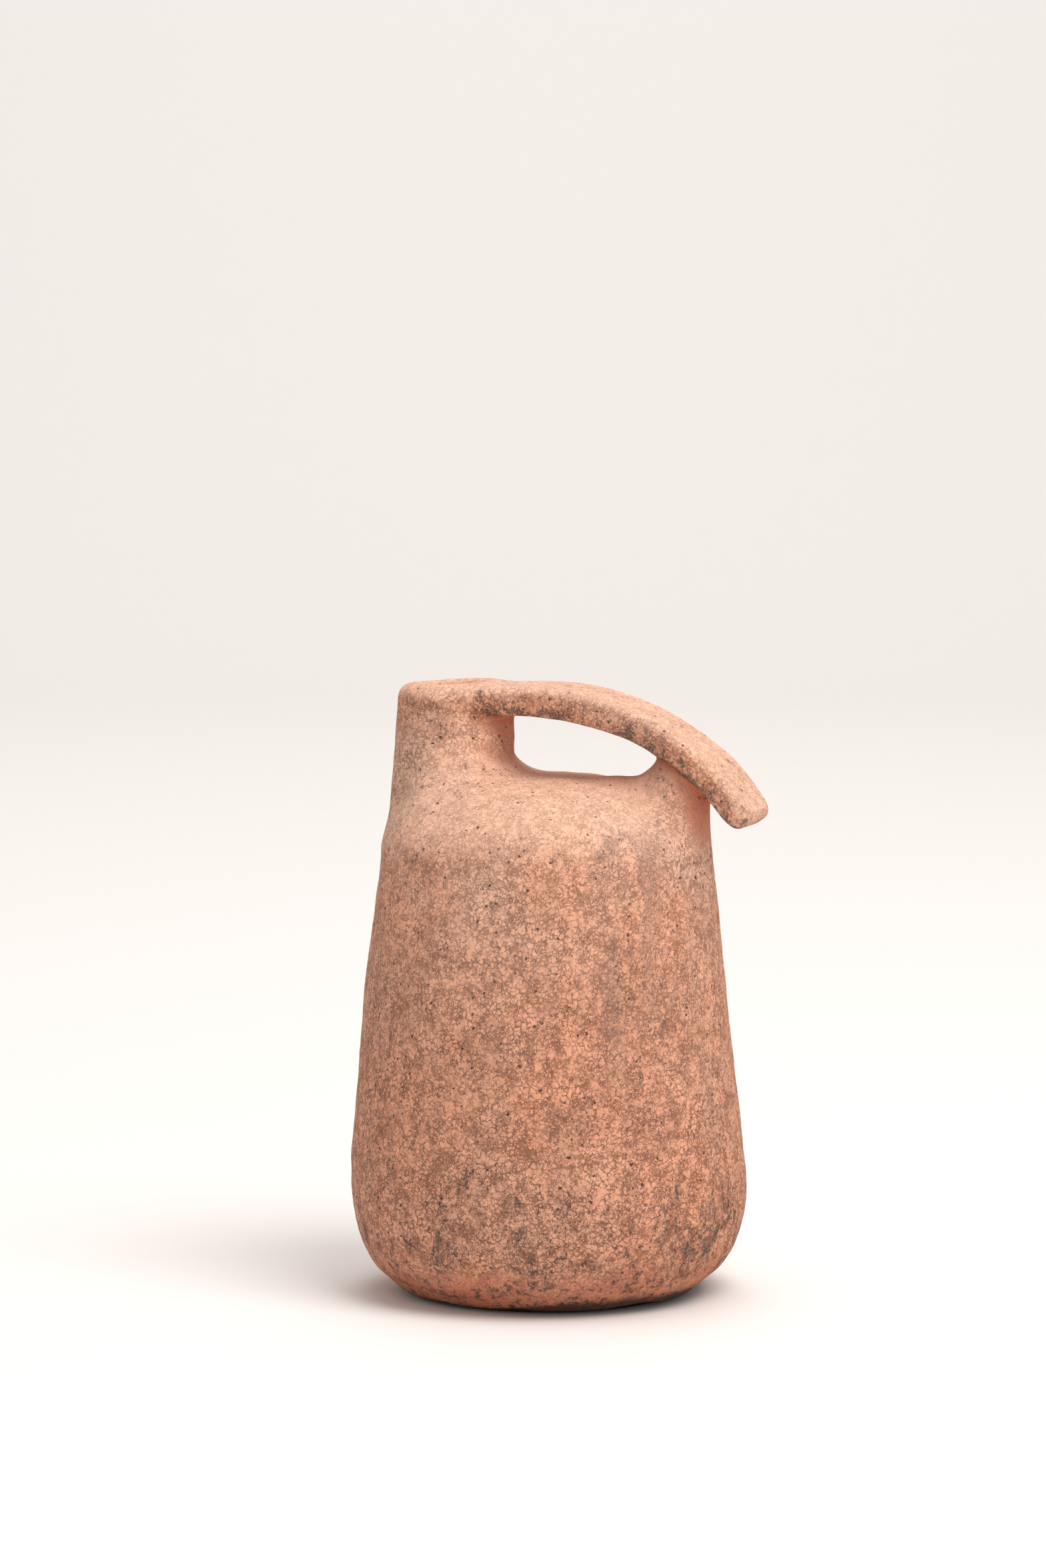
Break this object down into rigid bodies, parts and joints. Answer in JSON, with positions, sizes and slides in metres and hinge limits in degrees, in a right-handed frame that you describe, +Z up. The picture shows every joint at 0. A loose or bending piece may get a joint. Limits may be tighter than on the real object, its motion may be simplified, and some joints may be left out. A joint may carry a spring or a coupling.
{
  "type": "ceramic pitcher",
  "caption": "Unglazed terracotta pitcher with a domed shoulder, a short off-centre neck and a flat strap handle that bridges a finger hole and ends in a free tail.",
  "frame": {"origin": "centre of the flat base, on the surface that the pitcher stands on", "axes": "+Z up along the body's axis; +X towards the free tail of the strap handle; the mouth lies on the -X side; the XZ plane is the plane of symmetry"},
  "size_m": [0.2209, 0.2082, 0.3206],
  "materials": {
    "fired_clay": "matt unglazed terracotta with a fine brown crackle and grey patches"
  },
  "bodies": {
    "root": {"base_slab": "fired_clay", "body_wall": "fired_clay", "shoulder_dome": "fired_clay", "neck": "fired_clay", "mouth_lip": "fired_clay", "strap_handle": "fired_clay", "neck_gusset": "fired_clay", "shoulder_gusset": "fired_clay"}
  },
  "joints": []
}
